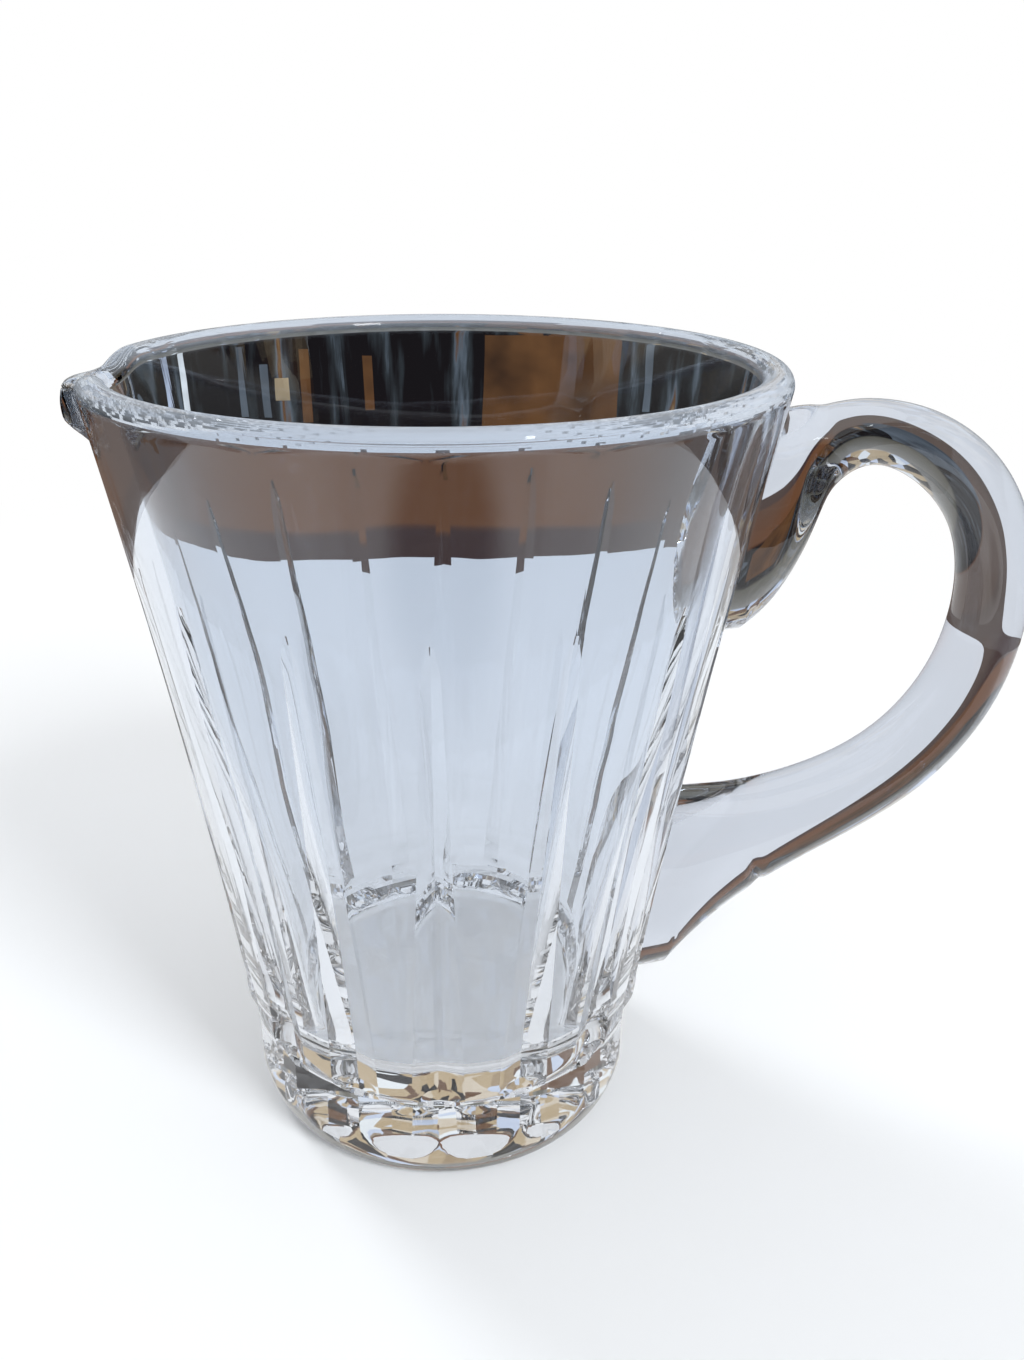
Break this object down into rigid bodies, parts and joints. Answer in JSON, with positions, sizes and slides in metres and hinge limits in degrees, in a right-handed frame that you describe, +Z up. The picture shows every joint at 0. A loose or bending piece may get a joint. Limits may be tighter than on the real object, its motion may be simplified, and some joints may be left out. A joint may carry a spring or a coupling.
{
  "type": "crystal jug",
  "caption": "Flared cut-crystal jug with a drawn pouring lip, long mitre cuts, a faceted foot on a flat ground base, and an applied loop handle.",
  "frame": {"origin": "on the jug's axis at the table, in the middle of the ground base", "axes": "+Z up along the jug's axis, +X towards the handle, the pouring lip on -X, +Y to the left of the handle seen from the lip"},
  "size_m": [0.1482, 0.0992, 0.123],
  "materials": {
    "crystal": "fire-polished and acid-polished clear crystal"
  },
  "bodies": {
    "root": {"jug_body": "crystal", "handle": "crystal"}
  },
  "joints": []
}
